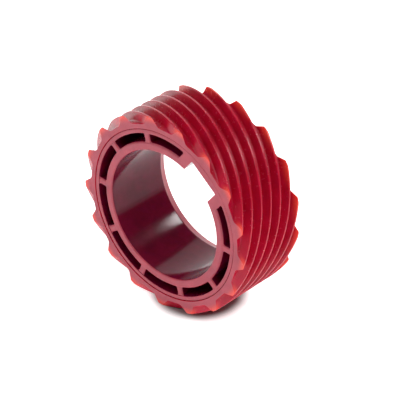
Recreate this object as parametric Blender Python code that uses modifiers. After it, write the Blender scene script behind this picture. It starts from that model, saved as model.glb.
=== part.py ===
"""Multi-start helical drive gear ring with a ribbed hub and a clip seat in its bore.

The gear is one rigid moulding.  It is laid out here as the solids that a designer would
change one at a time: the toothed rim, the plain band under it, the bore sleeve, the ribs
between sleeve and band, the thick clip seat, and the web that closes the pockets.

Frame: the gear's axis is world Y, the pocketed front face looks along -Y, +Z is up, and
the origin is on the axis, midway between the two rim faces.  Angles run from +X towards
+Z, as seen from the front.
"""
import math

import bmesh
import bpy

MM = 0.001

# ---- toothed rim ----
TOOTH_COUNT = 17
TIP_RADIUS = 26.0 * MM
ROOT_RADIUS = 23.83 * MM
RIM_WIDTH = 20.2 * MM
HELIX_TWIST = math.radians(126.2)       # angle a tooth gains from front face to rear face
HELIX_STEPS = 20
FIRST_TOOTH_ANGLE = math.radians(13.6)  # centre of one tooth on the front face
CREST_HALF_ANGLE = math.radians(1.65)
BASE_HALF_ANGLE = math.radians(5.7)
CREST_ROUND = 0.25 * MM
ROOT_ROUND = 0.35 * MM

# ---- hub ----
FACE_STEP = 0.12 * MM                   # the hub's faces lie this far inside the rim's faces
SEAM_RADIUS = 22.45 * MM                # the fine line between the rim and the hub
POCKET_OUTER_RADIUS = 21.4 * MM
POCKET_INNER_RADIUS = 19.1 * MM
BORE_RADIUS = 17.0 * MM
FRONT_CHAMFER = 0.5 * MM
LEAD_IN_RADIAL = 1.2 * MM               # shallow cone at the rear mouth of the bore
LEAD_IN_LENGTH = 2.4 * MM
WEB_THICKNESS = 2.0 * MM
RING_CHAMFER = 0.2 * MM                 # outer corners of the band and of the web

# ---- clip seat and ribs ----
SEAT_ANGLE = math.radians(50.7)         # middle of the clip seat
SEAT_WIDTH = 15.0 * MM                  # the block's two sides are parallel
NOTCH_FLOOR_DISTANCE = 20.45 * MM       # axis to the flat floor of the notch
NOTCH_WIDTH = 9.4 * MM
RIB_COUNT = 8
RIB_PITCH = math.radians(36.0)
FIRST_RIB_OFFSET = math.radians(54.0)   # from the middle of the clip seat
RIB_THICKNESS = 1.7 * MM
RIB_CHAMFER = 0.2 * MM

GAP = 0.3 * MM                          # clearance between neighbouring solids
RING_SEGMENTS = 80
MERGE_DISTANCE = 0.00001
SHARP_ANGLE = math.radians(35.0)
CUT_OVERRUN = 2.0 * MM                  # how far a cutter runs past what it cuts

NYLON_RED = (0.42, 0.012, 0.03)
NYLON_ROUGHNESS = 0.34

HALF_WIDTH = RIM_WIDTH / 2
HUB_HALF_WIDTH = HALF_WIDTH - FACE_STEP
HUB_OUTER_RADIUS = SEAM_RADIUS - GAP / 2


def clear_scene():
    for old in list(bpy.data.objects):
        bpy.data.objects.remove(old, do_unlink=True)


def new_collection(name):
    collection = bpy.data.collections.new(name)
    bpy.context.scene.collection.children.link(collection)
    return collection


def nylon(name, tint):
    """Semi-gloss red nylon; tint brightens or darkens one part's share of it."""
    material = bpy.data.materials.new(name)
    material.use_nodes = True
    shader = material.node_tree.nodes["Principled BSDF"]
    colour = tuple(channel * tint for channel in NYLON_RED)
    shader.inputs["Base Color"].default_value = colour + (1.0,)
    shader.inputs["Roughness"].default_value = NYLON_ROUGHNESS
    shader.inputs["Metallic"].default_value = 0.0
    material.diffuse_color = colour + (1.0,)
    return material


def add_object(name, mesh, collection, axis_frame):
    thing = bpy.data.objects.new(name, mesh)
    collection.objects.link(thing)
    thing.parent = axis_frame
    return thing


def polar(radius, angle):
    return (radius * math.cos(angle), radius * math.sin(angle))


def tooth_outline():
    """Section across the rim: every tooth as root arc, flank, crest and flank."""
    pitch = 2 * math.pi / TOOTH_COUNT
    crest_round_angle = CREST_ROUND / TIP_RADIUS
    root_round_angle = ROOT_ROUND / ROOT_RADIUS
    points = []
    for index in range(TOOTH_COUNT):
        middle = FIRST_TOOTH_ANGLE + index * pitch
        points.append(polar(ROOT_RADIUS, middle - BASE_HALF_ANGLE - root_round_angle))
        points.append(polar(ROOT_RADIUS + ROOT_ROUND, middle - BASE_HALF_ANGLE + root_round_angle))
        points.append(polar(TIP_RADIUS - CREST_ROUND, middle - CREST_HALF_ANGLE - crest_round_angle))
        points.append(polar(TIP_RADIUS, middle - CREST_HALF_ANGLE + crest_round_angle))
        points.append(polar(TIP_RADIUS, middle + CREST_HALF_ANGLE - crest_round_angle))
        points.append(polar(TIP_RADIUS - CREST_ROUND, middle + CREST_HALF_ANGLE + crest_round_angle))
        points.append(polar(ROOT_RADIUS + ROOT_ROUND, middle + BASE_HALF_ANGLE - root_round_angle))
        points.append(polar(ROOT_RADIUS, middle + BASE_HALF_ANGLE + root_round_angle))
    return points


def swept_solid(name, outline, half_length, twist, steps):
    """A flat outline carried from the front face to the rear one, turning as it goes."""
    mesh = bpy.data.meshes.new(name)
    shape = bmesh.new()
    ring = [shape.verts.new((x, y, half_length)) for x, y in outline]
    edges = [shape.edges.new((ring[index - 1], ring[index])) for index in range(len(ring))]
    bmesh.ops.spin(
        shape, geom=ring + edges, cent=(0, 0, 0), axis=(0, 0, 1),
        dvec=(0, 0, -2 * half_length / steps), angle=twist, steps=steps,
    )
    rims = [edge for edge in shape.edges if edge.is_boundary]
    bmesh.ops.holes_fill(shape, edges=rims, sides=0)
    bmesh.ops.recalc_face_normals(shape, faces=shape.faces[:])
    shape.to_mesh(mesh)
    shape.free()
    return mesh


def turned_ring(name, profile, collection, axis_frame):
    """A closed profile of (radius, height) points, outer side first, turned round the axis."""
    mesh = bpy.data.meshes.new(name)
    shape = bmesh.new()
    ring = [shape.verts.new((radius, 0, height)) for radius, height in profile]
    for index in range(len(ring)):
        shape.edges.new((ring[index], ring[(index + 1) % len(ring)]))
    shape.to_mesh(mesh)
    shape.free()
    ring_object = add_object(name, mesh, collection, axis_frame)
    screw = ring_object.modifiers.new("turn", "SCREW")
    screw.axis = "Z"
    screw.angle = 2 * math.pi
    screw.steps = RING_SEGMENTS
    screw.render_steps = RING_SEGMENTS
    screw.use_merge_vertices = True
    screw.merge_threshold = MERGE_DISTANCE
    return ring_object


def plain_profile(inner, outer, bottom, top):
    """Rectangular section with its two outer corners chamfered, listed down the outer side."""
    return [
        (outer - RING_CHAMFER, top), (outer, top - RING_CHAMFER),
        (outer, bottom + RING_CHAMFER), (outer - RING_CHAMFER, bottom),
        (inner, bottom), (inner, top),
    ]


def bored_profile(outer):
    """Section of the sleeve and of the clip seat: chamfered front mouth, lead-in at the rear."""
    front = HUB_HALF_WIDTH
    rear = -HUB_HALF_WIDTH
    return [
        (outer, front), (outer, rear),
        (BORE_RADIUS + LEAD_IN_RADIAL, rear), (BORE_RADIUS, rear + LEAD_IN_LENGTH),
        (BORE_RADIUS, front - FRONT_CHAMFER), (BORE_RADIUS + FRONT_CHAMFER, front),
    ]


def cut(target, cutter, operation):
    boolean = target.modifiers.new(operation.lower() + "_" + cutter.name, "BOOLEAN")
    boolean.operation = operation
    boolean.solver = "EXACT"
    boolean.object = cutter


def cylinder_mesh(name, radius, length):
    mesh = bpy.data.meshes.new(name)
    shape = bmesh.new()
    bmesh.ops.create_cone(
        shape, cap_ends=True, segments=RING_SEGMENTS,
        radius1=radius, radius2=radius, depth=length,
    )
    shape.to_mesh(mesh)
    shape.free()
    return mesh


def box_mesh(name, size, centre):
    mesh = bpy.data.meshes.new(name)
    shape = bmesh.new()
    bmesh.ops.create_cube(shape, size=1.0)
    bmesh.ops.scale(shape, vec=size, verts=shape.verts[:])
    bmesh.ops.translate(shape, vec=centre, verts=shape.verts[:])
    shape.to_mesh(mesh)
    shape.free()
    return mesh


def add_cutter(name, mesh, collection, axis_frame):
    cutter = add_object(name, mesh, collection, axis_frame)
    cutter.hide_render = True
    cutter.display_type = "WIRE"
    return cutter


def seat_cutter(name, reach, width, collection, axis_frame):
    """A straight box from the axis outwards, along the middle of the clip seat."""
    size = (reach, width, RIM_WIDTH + 2 * CUT_OVERRUN)
    cutter = add_cutter(name, box_mesh(name, size, (reach / 2, 0, 0)), collection, axis_frame)
    cutter.rotation_euler = (0, 0, SEAT_ANGLE)
    return cutter


def make_rim(parts, cutters, axis_frame):
    mesh = swept_solid("toothed_rim", tooth_outline(), HALF_WIDTH, HELIX_TWIST, HELIX_STEPS)
    rim = add_object("toothed_rim", mesh, parts, axis_frame)
    hole = cylinder_mesh("rim_hole", SEAM_RADIUS + GAP / 2, RIM_WIDTH + 2 * CUT_OVERRUN)
    cut(rim, add_cutter("rim_hole", hole, cutters, axis_frame), "DIFFERENCE")
    return rim


def make_band(parts, seat_space, axis_frame):
    profile = plain_profile(
        POCKET_OUTER_RADIUS, HUB_OUTER_RADIUS, -HUB_HALF_WIDTH, HUB_HALF_WIDTH,
    )
    band = turned_ring("outer_band", profile, parts, axis_frame)
    cut(band, seat_space, "DIFFERENCE")
    return band


def make_sleeve(parts, seat_space, axis_frame):
    sleeve = turned_ring("bore_sleeve", bored_profile(POCKET_INNER_RADIUS), parts, axis_frame)
    cut(sleeve, seat_space, "DIFFERENCE")
    return sleeve


def make_web(parts, seat_space, axis_frame):
    rear = -HUB_HALF_WIDTH
    profile = plain_profile(
        POCKET_INNER_RADIUS + GAP, POCKET_OUTER_RADIUS - GAP, rear, rear + WEB_THICKNESS,
    )
    web = turned_ring("rear_web", profile, parts, axis_frame)
    cut(web, seat_space, "DIFFERENCE")
    return web


def make_seat(parts, cutters, axis_frame):
    seat = turned_ring("clip_seat", bored_profile(HUB_OUTER_RADIUS), parts, axis_frame)
    block = seat_cutter("seat_block", TIP_RADIUS, SEAT_WIDTH, cutters, axis_frame)
    cut(seat, block, "INTERSECT")
    notch = seat_cutter("seat_notch", NOTCH_FLOOR_DISTANCE, NOTCH_WIDTH, cutters, axis_frame)
    cut(seat, notch, "DIFFERENCE")
    return seat


def make_ribs(parts, axis_frame):
    """Radial ribs standing on the web, evenly spaced round from one side of the clip seat."""
    bottom = -HUB_HALF_WIDTH + WEB_THICKNESS + GAP
    height = HUB_HALF_WIDTH - bottom
    length = POCKET_OUTER_RADIUS - POCKET_INNER_RADIUS - 2 * GAP
    middle_radius = (POCKET_OUTER_RADIUS + POCKET_INNER_RADIUS) / 2
    centre = (middle_radius, 0, bottom + height / 2)
    shared = box_mesh("rib", (length, RIB_THICKNESS, height), centre)
    ribs = []
    for index in range(RIB_COUNT):
        rib = add_object("rib_%d" % (index + 1), shared.copy(), parts, axis_frame)
        rib.rotation_euler = (0, 0, SEAT_ANGLE + FIRST_RIB_OFFSET + index * RIB_PITCH)
        bevel = rib.modifiers.new("edge_chamfer", "BEVEL")
        bevel.width = RIB_CHAMFER
        bevel.segments = 1
        bevel.limit_method = "NONE"
        ribs.append(rib)
    return ribs


def main():
    clear_scene()
    parts = new_collection("helical_drive_gear")
    cutters = new_collection("cutters")

    axis_frame = bpy.data.objects.new("gear_axis", None)
    axis_frame.rotation_euler = (math.pi / 2, 0, 0)
    parts.objects.link(axis_frame)

    seat_space = seat_cutter(
        "seat_space", TIP_RADIUS, SEAT_WIDTH + 2 * GAP, cutters, axis_frame,
    )
    painted = [
        (make_rim(parts, cutters, axis_frame), 1.0),
        (make_band(parts, seat_space, axis_frame), 0.9),
        (make_sleeve(parts, seat_space, axis_frame), 0.8),
        (make_seat(parts, cutters, axis_frame), 0.9),
        (make_web(parts, seat_space, axis_frame), 0.6),
    ]
    painted += [(rib, 0.7) for rib in make_ribs(parts, axis_frame)]
    for thing, tint in painted:
        thing.data.materials.append(nylon(thing.name + "_nylon", tint))
        thing.data.shade_smooth()
        thing.data.set_sharp_from_angle(angle=SHARP_ANGLE)


main()
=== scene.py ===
"""Looks of the moulded helical drive gear: its fine shape, its nylon, and a white studio."""

import math

import bmesh
import bpy
import numpy as np
from mathutils import Matrix, Quaternion, Vector


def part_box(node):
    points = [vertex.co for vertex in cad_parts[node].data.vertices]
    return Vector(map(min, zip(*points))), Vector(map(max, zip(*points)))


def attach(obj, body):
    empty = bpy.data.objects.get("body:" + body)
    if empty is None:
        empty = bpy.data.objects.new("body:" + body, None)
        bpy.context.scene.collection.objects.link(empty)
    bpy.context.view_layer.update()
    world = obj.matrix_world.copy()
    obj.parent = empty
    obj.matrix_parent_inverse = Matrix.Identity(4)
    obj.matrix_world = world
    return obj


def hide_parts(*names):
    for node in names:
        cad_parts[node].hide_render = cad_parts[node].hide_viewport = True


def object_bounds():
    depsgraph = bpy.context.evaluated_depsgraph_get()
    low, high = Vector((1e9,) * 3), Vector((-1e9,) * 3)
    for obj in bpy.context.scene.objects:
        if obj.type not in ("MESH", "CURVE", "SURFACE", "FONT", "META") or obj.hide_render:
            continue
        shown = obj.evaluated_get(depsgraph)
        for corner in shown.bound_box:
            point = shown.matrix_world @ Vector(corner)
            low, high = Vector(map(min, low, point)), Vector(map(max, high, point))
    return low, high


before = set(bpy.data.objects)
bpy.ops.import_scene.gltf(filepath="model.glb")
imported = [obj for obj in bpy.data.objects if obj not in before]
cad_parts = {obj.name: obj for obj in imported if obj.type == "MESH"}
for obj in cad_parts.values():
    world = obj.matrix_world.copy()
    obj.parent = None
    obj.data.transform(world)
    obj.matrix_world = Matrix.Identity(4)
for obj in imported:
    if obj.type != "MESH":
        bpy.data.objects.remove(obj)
cad_low, cad_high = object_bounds()

MM = 0.001


def reach(node):
    """Smallest and largest distance of a node's corners from the gear's axis."""
    distances = [math.hypot(v.co.x, v.co.z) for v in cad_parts[node].data.vertices]
    return min(distances), max(distances)


# ---- sizes that the CAD nodes give ----
RIM_HOLE_RADIUS, TIP_RADIUS = reach("toothed_rim")
POCKET_OUTER, BAND_OUTER = reach("outer_band")
BORE_RADIUS, POCKET_INNER = reach("bore_sleeve")
HALF_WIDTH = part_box("toothed_rim")[1].y
HUB_HALF_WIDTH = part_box("outer_band")[1].y
WEB_FRONT = -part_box("rear_web")[0].y
SEAM_RADIUS = (RIM_HOLE_RADIUS + BAND_OUTER) / 2

# ---- teeth, as in the CAD ----
TOOTH_COUNT = 17
ROOT_RADIUS = 23.83 * MM
HELIX_TWIST = math.radians(126.2)
FIRST_TOOTH_ANGLE = math.radians(13.6)
CREST_HALF_ANGLE = math.radians(1.65)
BASE_HALF_ANGLE = math.radians(5.7)
PITCH_ANGLE = 2 * math.pi / TOOTH_COUNT
CREST_FILLET = 0.16 * MM                # both measured square to the teeth
ROOT_FILLET = 0.4 * MM
TOOTH_STATIONS = 84
HOLE_STATIONS = 25                      # stretches along the wall of the rim's hole
FACE_EDGE = 0.13 * MM                   # rounding where the teeth meet the flat faces
FACE_EDGE_STEPS = 4

# ---- hub, as in the CAD, with the roundings that only the looks need ----
SEAT_ANGLE = math.radians(50.7)
SEAT_HALF_WIDTH = 7.5 * MM
NOTCH_FLOOR = 20.45 * MM
NOTCH_HALF_WIDTH = 4.7 * MM
RIB_COUNT = 8
RIB_PITCH = math.radians(36.0)
FIRST_RIB_ANGLE = SEAT_ANGLE + math.radians(54.0)
RIB_HALF_THICKNESS = 0.85 * MM
RIB_DROP = 0.15 * MM                    # the ribs end this far below the hub's face
RIB_EDGE = 0.4 * MM
HUB_EDGE = 0.1 * MM
SLEEVE_EDGE = 0.55 * MM                 # outer edge of the sleeve, at the pockets
MOUTH_ROUND = 0.4 * MM                  # front edge of the bore
LEAD_IN_RADIAL = 1.2 * MM
LEAD_IN_LENGTH = 2.4 * MM
LEAD_IN_LIP = 0.15 * MM
THROAT_ROUND = 1.0 * MM
BORE_DRAFT = 0.15 * MM                  # the bore opens by this much towards the rear
DRAFT_START = 3.0 * MM                  # measured forward from the middle of the width
DRAFT_STEPS = 8
POCKET_CORNER = 0.45 * MM
NOTCH_CORNER = 0.3 * MM
POCKET_DRAFT = 0.1 * MM
CHANNEL_CLEAR = 0.03 * MM               # the pockets are this much narrower than the channel
SEAM_HALF_GAP = 0.07 * MM
SEAM_DEPTH = 0.3 * MM
HUB_SEGMENTS = 240
ARC_SEGMENTS = 5                        # in every rounded corner
CHANNEL_STEPS = 150                     # in each long side of an outline
POCKET_STEPS = 20
CUT_OVERRUN = 1.0 * MM
CUTTING_SCALE = 1000.0
JUST_ABOVE = 0.01 * MM
CLOSEST_LEVELS = 0.004 * MM
NOTCH_START = 0.6                       # in bore radii, well inside the bore
FIRST_DEPTH = 0.006 * MM                # a rounding's first level lies this far down

SMOOTH_ANGLE = math.radians(32.0)
FLAT_FACE_WEIGHT = 80

# ---- nylon ----
RIM_COLOURS = (0.42, 0.003, 0.024), (0.54, 0.005, 0.036)
# painted shade: the hub's bore and pocket walls are coloured darker than the same nylon on the
# teeth
HUB_WALL_SHADE_COLOURS = (0.12, 0.001, 0.018), (0.18, 0.002, 0.026)
# the flat faces' pinker colour is partly painted sheen, on top of the satin finish
FACE_SHEEN_COLOURS = (0.38, 0.030, 0.060), (0.48, 0.050, 0.085)
# painted glow of the light that shines through the thin tooth ends
BACKLIT_GLOW_COLOUR = (0.85, 0.070, 0.050)
# scuffs on the crests, painted lighter as the glints they catch
SCUFF_GLINT_COLOUR = (0.66, 0.15, 0.19)
RIM_FACE_SLOPE = 0.97                   # the steep helical flanks stay below this
HUB_FACE_SLOPE = 0.4                    # takes in the rear lead-in
BACKLIT_TIP_REACH = 2.0 * MM                     # how far the painted backlight glow reaches down from the tips
BACKLIT_REAR = 2.8 * MM, 0.2 * MM          # the painted glow starts and is full this far from the rear face
BACKLIT_FRONT = 0.6 * MM
SCUFF_GLINT_BAND = 0.45 * MM, 0.1 * MM        # painted scuff glints start and are full this far below the tips
SCUFF_GLINT_RARITY = 0.66, 0.76
REFRACTION = 1.53
LIGHT_DEPTH = 0.7 * MM
LIGHT_DEPTH_BY_COLOUR = (1.0, 0.12, 0.07)
LIGHT_DEPTH_SHARE = 0.4
CLOUD_SCALE = 260.0                     # noise scales, per metre
GLOSS_SCALE = 900.0
SCUFF_GLINT_SCALE = 1100.0
GRAIN_SCALE = 3200.0

# ---- studio ----
VIEW_AZIMUTH, VIEW_ELEVATION = 42.05, 31.88
VIEW_DISTANCE = 22.29                   # this and the next two are in tip radii
VIEW_RIGHT, VIEW_DOWN = 0.0835, 0.0054
LENS, SENSOR = 215.4, 36.0              # millimetres on the camera
FLOOR_HALF_SIZE = 6.0
SHADOWED_FLOOR = (0.35, 0.33, 0.33)
OPEN_FLOOR = (0.88, 0.88, 0.88)
GLOW_STARTS = 9.4 * MM                  # no glow in the contact shadow under the gear
GLOW_FULL = 13.4 * MM
GLOW_CENTRE = 2.6 * MM                  # the shadow's middle is this far towards +X
GLOW_RADIANCE = 0.8
PALE_BELOW, DIM_ABOVE = 0.04, 0.09      # heights in the sky, where 1 is overhead
ROOM_GREY = 0.1


# ---------------------------------------------------------------- outlines

def turn(point, angle):
    x, y = point
    return (x * math.cos(angle) - y * math.sin(angle), x * math.sin(angle) + y * math.cos(angle))


def rounded(corners, radii, closed):
    """The corners joined by straight lines, each corner rounded to its own radius."""
    count = len(corners)
    points = []
    for index, (corner, radius) in enumerate(zip(corners, radii)):
        if radius == 0.0 or (not closed and index in (0, count - 1)):
            points.append(tuple(corner))
            continue
        here = Vector(corner)
        back = (Vector(corners[index - 1]) - here).normalized()
        onward = (Vector(corners[(index + 1) % count]) - here).normalized()
        half = back.angle(onward) / 2
        centre = here + (back + onward).normalized() * (radius / math.sin(half))
        start = here + back * (radius / math.tan(half)) - centre
        end = here + onward * (radius / math.tan(half)) - centre
        sweep = start.angle(end)
        for step in range(ARC_SEGMENTS + 1):
            share = step / ARC_SEGMENTS
            point = centre + (
                start * math.sin((1 - share) * sweep) + end * math.sin(share * sweep)
            ) / math.sin(sweep)
            points.append((point.x, point.y))
    return points


def arc(centre, radius, start, end, segments):
    """Points round a centre, from one direction to the other the short way."""
    sweep = (end - start + math.pi) % (2 * math.pi) - math.pi
    angles = [start + sweep * step / segments for step in range(segments + 1)]
    return [(centre[0] + radius * math.cos(a), centre[1] + radius * math.sin(a)) for a in angles]


def sector_outline(inner, outer, start, start_offset, end, end_offset, corner, steps):
    """A piece of a ring between two planes, each set off from the axis, with round corners."""
    def centre_at(angle, offset, distance):
        along = math.sqrt(distance ** 2 - offset ** 2)
        return turn((along, offset), angle)

    a = centre_at(start, start_offset + corner, inner + corner)
    b = centre_at(end, -end_offset - corner, inner + corner)
    c = centre_at(end, -end_offset - corner, outer - corner)
    d = centre_at(start, start_offset + corner, outer - corner)
    side_start = start - math.pi / 2
    side_end = end + math.pi / 2

    def heading(point):
        return math.atan2(point[1], point[0])

    def ring(radius, first, last):
        return [turn((radius, 0), first + (last - first) * k / steps) for k in range(1, steps)]

    def near(angle, reference):
        """The same direction as angle, within half a turn of the reference."""
        return reference + (angle - reference + math.pi) % (2 * math.pi) - math.pi

    points = arc(a, corner, side_start, heading(a) + math.pi, ARC_SEGMENTS)
    points += ring(inner, near(heading(a), start), near(heading(b), end))
    points += arc(b, corner, heading(b) + math.pi, side_end, ARC_SEGMENTS)
    points += arc(c, corner, side_end, heading(c), ARC_SEGMENTS)
    points += ring(outer, near(heading(c), end), near(heading(d), start))
    points += arc(d, corner, heading(d), side_start, ARC_SEGMENTS)
    return points


def growth(depth, radius):
    """How far a cutter widens at this depth below an edge rounded to the radius."""
    if depth >= radius:
        return 0.0
    rest = radius - max(depth, FIRST_DEPTH)
    return radius - math.sqrt(radius ** 2 - rest ** 2)


def edge_depths(radius):
    """Depths of the levels that carry a rounded edge, closer together near the face."""
    first = math.acos(1.0 - FIRST_DEPTH / radius)
    angles = np.linspace(first, math.pi / 2, ARC_SEGMENTS + 1)
    return [radius * (1.0 - math.cos(a)) for a in angles]


# ---------------------------------------------------------------- meshes

def gear_mesh(name, shape):
    """Turns a shape built with the axis along +Z, front up, into the gear's own frame."""
    mesh = bpy.data.meshes.new(name)
    bmesh.ops.recalc_face_normals(shape, faces=shape.faces[:])
    bmesh.ops.transform(shape, matrix=Matrix.Rotation(math.pi / 2, 4, "X"), verts=shape.verts[:])
    shape.to_mesh(mesh)
    shape.free()
    return mesh


def add_piece(name, mesh):
    piece = bpy.data.objects.new(name, mesh)
    bpy.context.scene.collection.objects.link(piece)
    return piece


def ring_grid(shape, rings, close):
    """Quads between successive rings of points; with close, the last ring joins the first."""
    rows = [[shape.verts.new(point) for point in ring] for ring in rings]
    pairs = list(zip(rows, rows[1:]))
    if close:
        pairs.append((rows[-1], rows[0]))
    for row, following in pairs:
        for index in range(len(row)):
            after = (index + 1) % len(row)
            shape.faces.new((row[index], row[after], following[after], following[index]))
    return rows


def loft(name, levels):
    """A closed body through outlines of equal length, each given as (height, outline)."""
    shape = bmesh.new()
    rings = [[(x, y, height) for x, y in outline] for height, outline in levels]
    rows = ring_grid(shape, rings, close=False)
    shape.faces.new(rows[0])
    shape.faces.new(rows[-1])
    return gear_mesh(name, shape)


def revolved(name, profile, segments):
    """A closed (radius, height) profile carried once round the axis."""
    shape = bmesh.new()
    rings = []
    for radius, height in profile:
        angles = [2 * math.pi * k / segments for k in range(segments)]
        rings.append([(radius * math.cos(a), radius * math.sin(a), height) for a in angles])
    ring_grid(shape, rings, close=True)
    return gear_mesh(name, shape)


def shade(piece):
    piece.data.shade_smooth()
    piece.data.set_sharp_from_angle(angle=SMOOTH_ANGLE)
    weighted = piece.modifiers.new("flat_faces_stay_flat", "WEIGHTED_NORMAL")
    weighted.keep_sharp = True
    weighted.weight = FLAT_FACE_WEIGHT


# ---------------------------------------------------------------- toothed rim

def tooth_section():
    """Points round the whole rim as (angle, radius); the roundings are square to the teeth."""
    middle_radius = (ROOT_RADIUS + TIP_RADIUS) / 2
    helix_angle = math.atan(middle_radius * HELIX_TWIST / (2 * HALF_WIDTH))
    squeeze = middle_radius * math.cos(helix_angle)
    corners = [
        (-PITCH_ANGLE / 2 * squeeze, ROOT_RADIUS), (-BASE_HALF_ANGLE * squeeze, ROOT_RADIUS),
        (-CREST_HALF_ANGLE * squeeze, TIP_RADIUS), (CREST_HALF_ANGLE * squeeze, TIP_RADIUS),
        (BASE_HALF_ANGLE * squeeze, ROOT_RADIUS), (PITCH_ANGLE / 2 * squeeze, ROOT_RADIUS),
    ]
    radii = [0.0, ROOT_FILLET, CREST_FILLET, CREST_FILLET, ROOT_FILLET, 0.0]
    one_tooth = [(s / squeeze, radius) for s, radius in rounded(corners, radii, closed=False)]
    points = []
    for index in range(TOOTH_COUNT):
        middle = FIRST_TOOTH_ANGLE + index * PITCH_ANGLE
        points += [(middle + angle, radius) for angle, radius in one_tooth[:-1]]
    return np.array(points)


def outward(points):
    """Unit directions pointing out of a counter-clockwise outline."""
    along = np.roll(points, -1, axis=0) - np.roll(points, 1, axis=0)
    across = np.stack([along[:, 1], -along[:, 0]], axis=1)
    return across / np.linalg.norm(across, axis=1)[:, None]


def rim_rings():
    """Rings that run from the hole's front edge over the teeth and back through the hole."""
    section = tooth_section()
    angles, radii = section[:, 0], section[:, 1]
    flat = np.stack([radii * np.cos(angles), radii * np.sin(angles)], axis=1)
    out = outward(flat)
    width = 2 * HALF_WIDTH

    def outer_ring(depth, inset):
        a = HELIX_TWIST * depth / width
        spin = np.array([[math.cos(a), math.sin(a)], [-math.sin(a), math.cos(a)]])
        ring = (flat - out * inset) @ spin
        return [(x, y, HALF_WIDTH - depth) for x, y in ring]

    def inner_ring(depth, radius):
        turned = angles + HELIX_TWIST * depth / width
        return [(radius * math.cos(a), radius * math.sin(a), HALF_WIDTH - depth) for a in turned]

    quarter = [math.pi / 2 * k / FACE_EDGE_STEPS for k in range(FACE_EDGE_STEPS + 1)]
    rounding = [(FACE_EDGE * (1 - math.cos(a)), FACE_EDGE * (1 - math.sin(a))) for a in quarter]
    hole = SEAM_RADIUS + SEAM_HALF_GAP
    rings = [inner_ring(depth, hole + inset) for depth, inset in reversed(rounding)]
    rings += [inner_ring(0.0, hole + 2 * FACE_EDGE), outer_ring(0.0, 2 * FACE_EDGE)]
    rings += [outer_ring(depth, inset) for depth, inset in rounding]
    tooth_depths = np.linspace(FACE_EDGE, width - FACE_EDGE, TOOTH_STATIONS + 1)[1:-1]
    rings += [outer_ring(depth, 0.0) for depth in tooth_depths]
    rings += [outer_ring(width - depth, inset) for depth, inset in reversed(rounding)]
    rings += [outer_ring(width, 2 * FACE_EDGE), inner_ring(width, hole + 2 * FACE_EDGE)]
    rings += [inner_ring(width - depth, hole + inset) for depth, inset in rounding]
    hole_depths = np.linspace(width - FACE_EDGE, FACE_EDGE, HOLE_STATIONS + 1)[1:-1]
    rings += [inner_ring(depth, hole) for depth in hole_depths]
    return rings


def make_rim():
    shape = bmesh.new()
    ring_grid(shape, rim_rings(), close=True)
    piece = add_piece("rim_moulding", gear_mesh("rim_moulding", shape))
    shade(piece)
    return piece


# ---------------------------------------------------------------- hub

def hub_blank():
    """The hub before its pockets are cut: a thick ring with its mouth, lead-in and seam edges."""
    outer = SEAM_RADIUS - SEAM_HALF_GAP
    buried = 3 * SEAM_HALF_GAP
    face = HUB_HALF_WIDTH
    corners = [
        (outer, face), (outer, face - SEAM_DEPTH), (outer + buried, face - SEAM_DEPTH - buried),
        (outer + buried, -face + SEAM_DEPTH + buried), (outer, -face + SEAM_DEPTH), (outer, -face),
        (BORE_RADIUS + LEAD_IN_RADIAL, -face),
    ]
    throat = -face + LEAD_IN_LENGTH
    for step in range(DRAFT_STEPS, -1, -1):
        share = step / DRAFT_STEPS
        height = DRAFT_START + share * (throat - DRAFT_START)
        corners.append((BORE_RADIUS + BORE_DRAFT * share ** 2, height))
    corners.append((BORE_RADIUS, face))
    radii = [HUB_EDGE, 0.0, 0.0, 0.0, 0.0, HUB_EDGE, LEAD_IN_LIP, THROAT_ROUND]
    radii += [0.0] * DRAFT_STEPS + [MOUTH_ROUND]
    return revolved("hub_moulding", rounded(corners, radii, closed=True), HUB_SEGMENTS)


def cutter_levels(top, depths, outline):
    """Outlines from just over the top face down through the depths, for a cutter's body."""
    over = outline(0.0)
    levels = [(top + CUT_OVERRUN, over), (top + JUST_ABOVE, over)]
    last = 0.0
    for depth in sorted(depths):
        if depth > last + CLOSEST_LEVELS:
            levels.append((top - depth, outline(depth)))
            last = depth
    return levels


def channel_cutter():
    """The shallow step that sets the tops of the ribs below the hub's face."""
    side = SEAT_HALF_WIDTH

    def outline(depth):
        edge = growth(depth, HUB_EDGE)
        return sector_outline(
            POCKET_INNER - growth(depth, SLEEVE_EDGE), POCKET_OUTER + edge, SEAT_ANGLE, side - edge,
            SEAT_ANGLE + 2 * math.pi, side - edge, POCKET_CORNER + edge, CHANNEL_STEPS,
        )

    depths = [depth for depth in edge_depths(SLEEVE_EDGE) if depth < RIB_DROP]
    depths += [depth for depth in edge_depths(HUB_EDGE) if depth < RIB_DROP]
    return loft("channel", cutter_levels(HUB_HALF_WIDTH, depths + [RIB_DROP], outline))


def pocket_cutter(index):
    """One blind pocket, cut from the channel; beside a rib it rounds the rib's top over."""
    start_rib = index > 0
    end_rib = index < RIB_COUNT
    start = FIRST_RIB_ANGLE + (index - 1) * RIB_PITCH if start_rib else SEAT_ANGLE
    end = FIRST_RIB_ANGLE + index * RIB_PITCH if end_rib else SEAT_ANGLE + 2 * math.pi
    floor_depth = HUB_HALF_WIDTH - RIB_DROP - WEB_FRONT

    def outline(depth):
        draft = CHANNEL_CLEAR + POCKET_DRAFT * depth / floor_depth
        rib_side = RIB_HALF_THICKNESS - growth(depth, RIB_EDGE)
        return sector_outline(
            POCKET_INNER + draft - growth(depth + RIB_DROP, SLEEVE_EDGE), POCKET_OUTER - draft,
            start, draft + (rib_side if start_rib else SEAT_HALF_WIDTH),
            end, draft + (rib_side if end_rib else SEAT_HALF_WIDTH),
            POCKET_CORNER, POCKET_STEPS,
        )

    depths = edge_depths(RIB_EDGE) + [floor_depth]
    depths += [depth - RIB_DROP for depth in edge_depths(SLEEVE_EDGE)]
    return loft("pocket_%d" % index, cutter_levels(HUB_HALF_WIDTH - RIB_DROP, depths, outline))


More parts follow.
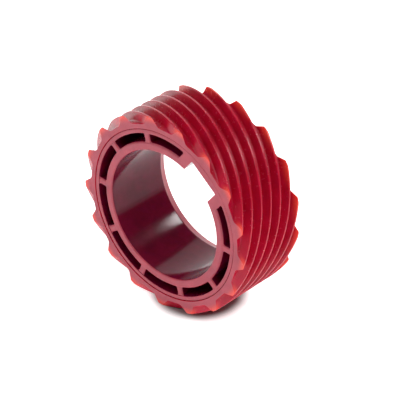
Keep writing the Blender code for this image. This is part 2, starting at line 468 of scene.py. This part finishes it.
def notch_cutter():
    """The clip notch: straight through the hub, its floor square to the seat's middle."""
    start = BORE_RADIUS * NOTCH_START

    def outline(depth):
        grow = growth(depth, HUB_EDGE)
        half = NOTCH_HALF_WIDTH + grow
        corners = [
            (start, -half), (NOTCH_FLOOR + grow, -half), (NOTCH_FLOOR + grow, half), (start, half),
        ]
        corner = NOTCH_CORNER + grow
        points = rounded(corners, [0.0, corner, corner, 0.0], closed=True)
        return [turn(point, SEAT_ANGLE) for point in points]

    upper = cutter_levels(HUB_HALF_WIDTH, edge_depths(HUB_EDGE), outline)
    lower = [(-height, points) for height, points in reversed(upper)]
    return loft("notch", upper + lower)


def make_hub():
    """The blank with everything cut from it; the cuts are worked out at a larger scale."""
    piece = add_piece("hub_moulding", hub_blank())
    meshes = [channel_cutter(), notch_cutter()]
    meshes += [pocket_cutter(index) for index in range(RIB_COUNT + 1)]
    cutters = [add_piece(mesh.name, mesh) for mesh in meshes]
    for mesh in [piece.data] + meshes:
        mesh.transform(Matrix.Scale(CUTTING_SCALE, 4))
    for cutter in cutters:
        boolean = piece.modifiers.new(cutter.name, "BOOLEAN")
        boolean.operation = "DIFFERENCE"
        boolean.solver = "EXACT"
        boolean.object = cutter
    bpy.context.view_layer.update()
    evaluated = piece.evaluated_get(bpy.context.evaluated_depsgraph_get())
    finished = bpy.data.meshes.new_from_object(evaluated)
    finished.transform(Matrix.Scale(1.0 / CUTTING_SCALE, 4))
    piece.modifiers.clear()
    piece.data = finished
    for cutter in cutters:
        bpy.data.objects.remove(cutter)
    shade(piece)
    return piece


# ---------------------------------------------------------------- nylon

def noise(nodes, links, coordinates, scale, detail):
    texture = nodes.new("ShaderNodeTexNoise")
    texture.inputs["Scale"].default_value = scale
    texture.inputs["Detail"].default_value = detail
    texture.inputs["Roughness"].default_value = 0.6
    links.new(coordinates, texture.inputs["Vector"])
    return texture.outputs["Fac"]


def spread(nodes, links, value, low, high):
    """Maps a noise value onto a range."""
    mapped = nodes.new("ShaderNodeMapRange")
    mapped.inputs["From Min"].default_value = 0.3
    mapped.inputs["From Max"].default_value = 0.7
    mapped.inputs["To Min"].default_value = low
    mapped.inputs["To Max"].default_value = high
    links.new(value, mapped.inputs["Value"])
    return mapped.outputs["Result"]


def ramp(nodes, links, value, low, high):
    """Rises smoothly from 0 at the low value to 1 at the high one."""
    mapped = nodes.new("ShaderNodeMapRange")
    mapped.interpolation_type = "SMOOTHSTEP"
    mapped.inputs["From Min"].default_value = low
    mapped.inputs["From Max"].default_value = high
    links.new(value, mapped.inputs["Value"])
    return mapped.outputs["Result"]


def combine(nodes, links, operation, first, second):
    """The sum or product of two node outputs."""
    node = nodes.new("ShaderNodeMath")
    node.operation = operation
    links.new(first, node.inputs[0])
    links.new(second, node.inputs[1])
    return node.outputs["Value"]


def axis_distance(nodes, links, place):
    """Distance from the gear's own axis."""
    across = nodes.new("ShaderNodeVectorMath")
    across.operation = "MULTIPLY"
    across.inputs[1].default_value = (1.0, 0.0, 1.0)
    links.new(place, across.inputs[0])
    radius = nodes.new("ShaderNodeVectorMath")
    radius.operation = "LENGTH"
    links.new(across.outputs["Vector"], radius.inputs[0])
    return radius.outputs["Value"]


def backlit_tip_mask(nodes, links, place):
    """1 at the tooth tips next to the two faces, where light shining through the thin teeth is
    painted as a glow, and 0 elsewhere.
    """
    radius = axis_distance(nodes, links, place)
    near_tip = ramp(nodes, links, radius, TIP_RADIUS - BACKLIT_TIP_REACH, TIP_RADIUS)
    split = nodes.new("ShaderNodeSeparateXYZ")
    links.new(place, split.inputs["Vector"])
    depth = split.outputs["Y"]
    rear_low, rear_high = [HALF_WIDTH - distance for distance in BACKLIT_REAR]
    near_rear = ramp(nodes, links, depth, rear_low, rear_high)
    near_front = ramp(nodes, links, depth, -HALF_WIDTH + BACKLIT_FRONT, -HALF_WIDTH)
    either = combine(nodes, links, "ADD", near_rear, near_front)
    return combine(nodes, links, "MULTIPLY", near_tip, either)


def nick_glint_mask(nodes, links, place):
    """Small scuffs scattered along the crests of the teeth, painted lighter as the glints they
    catch, and 0 everywhere else.
    """
    radius = axis_distance(nodes, links, place)
    crest_low, crest_high = [TIP_RADIUS - distance for distance in SCUFF_GLINT_BAND]
    crest = ramp(nodes, links, radius, crest_low, crest_high)
    scattered = ramp(nodes, links, noise(nodes, links, place, SCUFF_GLINT_SCALE, 2.0), *SCUFF_GLINT_RARITY)
    return combine(nodes, links, "MULTIPLY", crest, scattered)


def mix(nodes, links, factor, first, second):
    """Mixes two colours, each given as numbers or as the output of a node."""
    blend = nodes.new("ShaderNodeMix")
    blend.data_type = "RGBA"
    for socket, colour in (("A", first), ("B", second)):
        if isinstance(colour, tuple):
            blend.inputs[socket].default_value = (*colour, 1.0)
        else:
            links.new(colour, blend.inputs[socket])
    links.new(factor, blend.inputs["Factor"])
    return blend.outputs["Result"]


def nylon(name, dark, light, backlit_glow, roughness, gloss_level, grain_depth):
    """Crimson nylon: cloudy pigment, uneven gloss, fine grain and a little depth to the light."""
    material = bpy.data.materials.new(name)
    material.use_nodes = True
    nodes, links = material.node_tree.nodes, material.node_tree.links
    shader = nodes["Principled BSDF"]
    shader.inputs["IOR"].default_value = REFRACTION
    shader.inputs["Specular IOR Level"].default_value = gloss_level
    shader.inputs["Subsurface Weight"].default_value = LIGHT_DEPTH_SHARE
    shader.inputs["Subsurface Radius"].default_value = LIGHT_DEPTH_BY_COLOUR
    shader.inputs["Subsurface Scale"].default_value = LIGHT_DEPTH

    place = nodes.new("ShaderNodeTexCoord").outputs["Object"]
    cloud = spread(nodes, links, noise(nodes, links, place, CLOUD_SCALE, 3.0), 0.0, 1.0)
    pigment = mix(nodes, links, cloud, dark, light)
    # painted glow where light would shine through the thin tooth ends
    colour = mix(nodes, links, backlit_tip_mask(nodes, links, place), pigment, backlit_glow)
    # crest scuffs painted lighter, standing in for their glints
    colour = mix(nodes, links, nick_glint_mask(nodes, links, place), colour, SCUFF_GLINT_COLOUR)
    links.new(colour, shader.inputs["Base Color"])

    gloss = noise(nodes, links, place, GLOSS_SCALE, 4.0)
    uneven = spread(nodes, links, gloss, roughness * 0.85, roughness * 1.2)
    links.new(uneven, shader.inputs["Roughness"])

    grain = nodes.new("ShaderNodeBump")
    grain.inputs["Strength"].default_value = 1.0
    grain.inputs["Distance"].default_value = grain_depth
    links.new(noise(nodes, links, place, GRAIN_SCALE, 3.0), grain.inputs["Height"])
    links.new(grain.outputs["Normal"], shader.inputs["Normal"])
    return material


def paint(piece, face_material, wall_material, slope):
    """Satin nylon on faces that look forward or back by more than slope, glossier elsewhere."""
    piece.data.materials.clear()
    piece.data.materials.append(wall_material)
    piece.data.materials.append(face_material)
    for polygon in piece.data.polygons:
        polygon.material_index = int(abs(polygon.normal.y) > slope)


# ---------------------------------------------------------------- studio

def direction(azimuth, elevation):
    """Azimuth 0 is -Y, the side of the gear's front face, and it grows towards +X."""
    a, e = math.radians(azimuth), math.radians(elevation)
    return Vector((math.sin(a) * math.cos(e), -math.cos(a) * math.cos(e), math.sin(e)))


def softbox(name, azimuth, elevation, distance, width, height, radiance, shape="RECTANGLE", roll=0):
    """A light facing the gear, with sizes in metres and as bright as the radiance says."""
    data = bpy.data.lights.new(name, "AREA")
    data.shape = shape
    data.size = width
    data.size_y = height
    data.energy = radiance * math.pi * width * height
    if shape == "ELLIPSE":
        data.energy *= math.pi / 4
    light = bpy.data.objects.new(name, data)
    bpy.context.scene.collection.objects.link(light)
    away = direction(azimuth, elevation)
    light.location = away * distance
    light.rotation_mode = "QUATERNION"
    spin = Quaternion((0, 0, 1), math.radians(roll))
    light.rotation_quaternion = away.to_track_quat("Z", "Y") @ spin


def make_floor():
    """A white table that glows, except under the gear, so that it stays pale past the lights."""
    shape = bmesh.new()
    bmesh.ops.create_grid(shape, x_segments=8, y_segments=8, size=FLOOR_HALF_SIZE)
    mesh = bpy.data.meshes.new("floor")
    shape.to_mesh(mesh)
    shape.free()
    floor = add_piece("floor", mesh)
    floor.location.z = cad_low.z
    material = bpy.data.materials.new("white_table")
    material.use_nodes = True
    nodes, links = material.node_tree.nodes, material.node_tree.links
    shader = nodes["Principled BSDF"]
    shader.inputs["Roughness"].default_value = 0.6
    shader.inputs["Specular IOR Level"].default_value = 0.2
    shader.inputs["Emission Color"].default_value = (1.0, 1.0, 1.0, 1.0)
    distance = nodes.new("ShaderNodeVectorMath")
    distance.operation = "DISTANCE"
    distance.inputs[1].default_value = (GLOW_CENTRE, 0.0, 0.0)
    links.new(nodes.new("ShaderNodeTexCoord").outputs["Object"], distance.inputs[0])
    open_floor = ramp(nodes, links, distance.outputs["Value"], GLOW_STARTS, GLOW_FULL)
    colour = mix(nodes, links, open_floor, SHADOWED_FLOOR, OPEN_FLOOR)
    links.new(colour, shader.inputs["Base Color"])
    glow = nodes.new("ShaderNodeMath")
    glow.operation = "MULTIPLY"
    glow.inputs[1].default_value = GLOW_RADIANCE
    links.new(open_floor, glow.inputs[0])
    links.new(glow.outputs["Value"], shader.inputs["Emission Strength"])
    mesh.materials.append(material)


def make_world():
    """A pale line at the horizon under a dark room, so that the gloss stays deep."""
    world = bpy.data.worlds.new("studio")
    bpy.context.scene.world = world
    world.use_nodes = True
    nodes, links = world.node_tree.nodes, world.node_tree.links
    place = nodes.new("ShaderNodeTexCoord")
    split = nodes.new("ShaderNodeSeparateXYZ")
    bands = nodes.new("ShaderNodeValToRGB")
    pale, dim = bands.color_ramp.elements
    pale.position = PALE_BELOW
    pale.color = (1.0, 1.0, 1.0, 1.0)
    dim.position = DIM_ABOVE
    dim.color = (ROOM_GREY, ROOM_GREY, ROOM_GREY, 1.0)
    links.new(place.outputs["Generated"], split.inputs["Vector"])
    links.new(split.outputs["Z"], bands.inputs["Fac"])
    links.new(bands.outputs["Color"], nodes["Background"].inputs["Color"])
    nodes["Background"].inputs["Strength"].default_value = 1.0


def make_camera():
    """A long lens from the front right, looking down at the gear."""
    back = direction(VIEW_AZIMUTH, VIEW_ELEVATION)
    sideways = Vector((0, 0, 1)).cross(back).normalized()
    upward = back.cross(sideways)
    data = bpy.data.cameras.new("camera")
    data.lens = LENS
    data.sensor_width = SENSOR
    data.clip_start = 0.01
    data.clip_end = 20.0
    camera = bpy.data.objects.new("camera", data)
    bpy.context.scene.collection.objects.link(camera)
    aim = (sideways * VIEW_RIGHT - upward * VIEW_DOWN) * TIP_RADIUS
    camera.location = aim + back * (VIEW_DISTANCE * TIP_RADIUS)
    camera.rotation_mode = "QUATERNION"
    camera.rotation_quaternion = back.to_track_quat("Z", "Y")
    bpy.context.scene.camera = camera


def make_studio():
    """The floor, the world, and four lights that give the gear its soft and sharp gloss."""
    make_floor()
    make_world()
    softbox("overhead", 95.0, 66.0, 1.0, 0.8, 0.8, 2.6)
    softbox("front_left", 322.0, 42.0, 1.0, 0.6, 0.5, 3.0)
    softbox("back_wall", 212.0, 23.0, 1.4, 1.4, 1.2, 1.3)
    softbox("window", 152.3, 37.4, 1.0, 0.30, 0.12, 26.0, shape="ELLIPSE", roll=41.0)
    bpy.context.scene.view_settings.view_transform = "Standard"


# ---------------------------------------------------------------- the gear

rim = make_rim()
hub = make_hub()
# satin finish, its pinker colour partly a painted sheen
face_sheen_nylon = nylon("satin_sheen_nylon", *FACE_SHEEN_COLOURS, BACKLIT_GLOW_COLOUR, 0.40, 0.5, 0.02 * MM)
tooth_nylon = nylon("tooth_nylon", *RIM_COLOURS, BACKLIT_GLOW_COLOUR, 0.24, 0.3, 0.004 * MM)
# darker copy of the nylon, painting the shade in the hub's bore and pockets
shaded_wall_nylon = nylon("shaded_wall_nylon", *HUB_WALL_SHADE_COLOURS, BACKLIT_GLOW_COLOUR, 0.10, 0.20, 0.002 * MM)
paint(rim, face_sheen_nylon, tooth_nylon, RIM_FACE_SLOPE)
paint(hub, face_sheen_nylon, shaded_wall_nylon, HUB_FACE_SLOPE)

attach(rim, "root")
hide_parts("toothed_rim")
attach(hub, "root")
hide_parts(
    "outer_band", "bore_sleeve", "clip_seat", "rear_web",
    *["rib_%d" % (index + 1) for index in range(RIB_COUNT)],
)

make_studio()
make_camera()
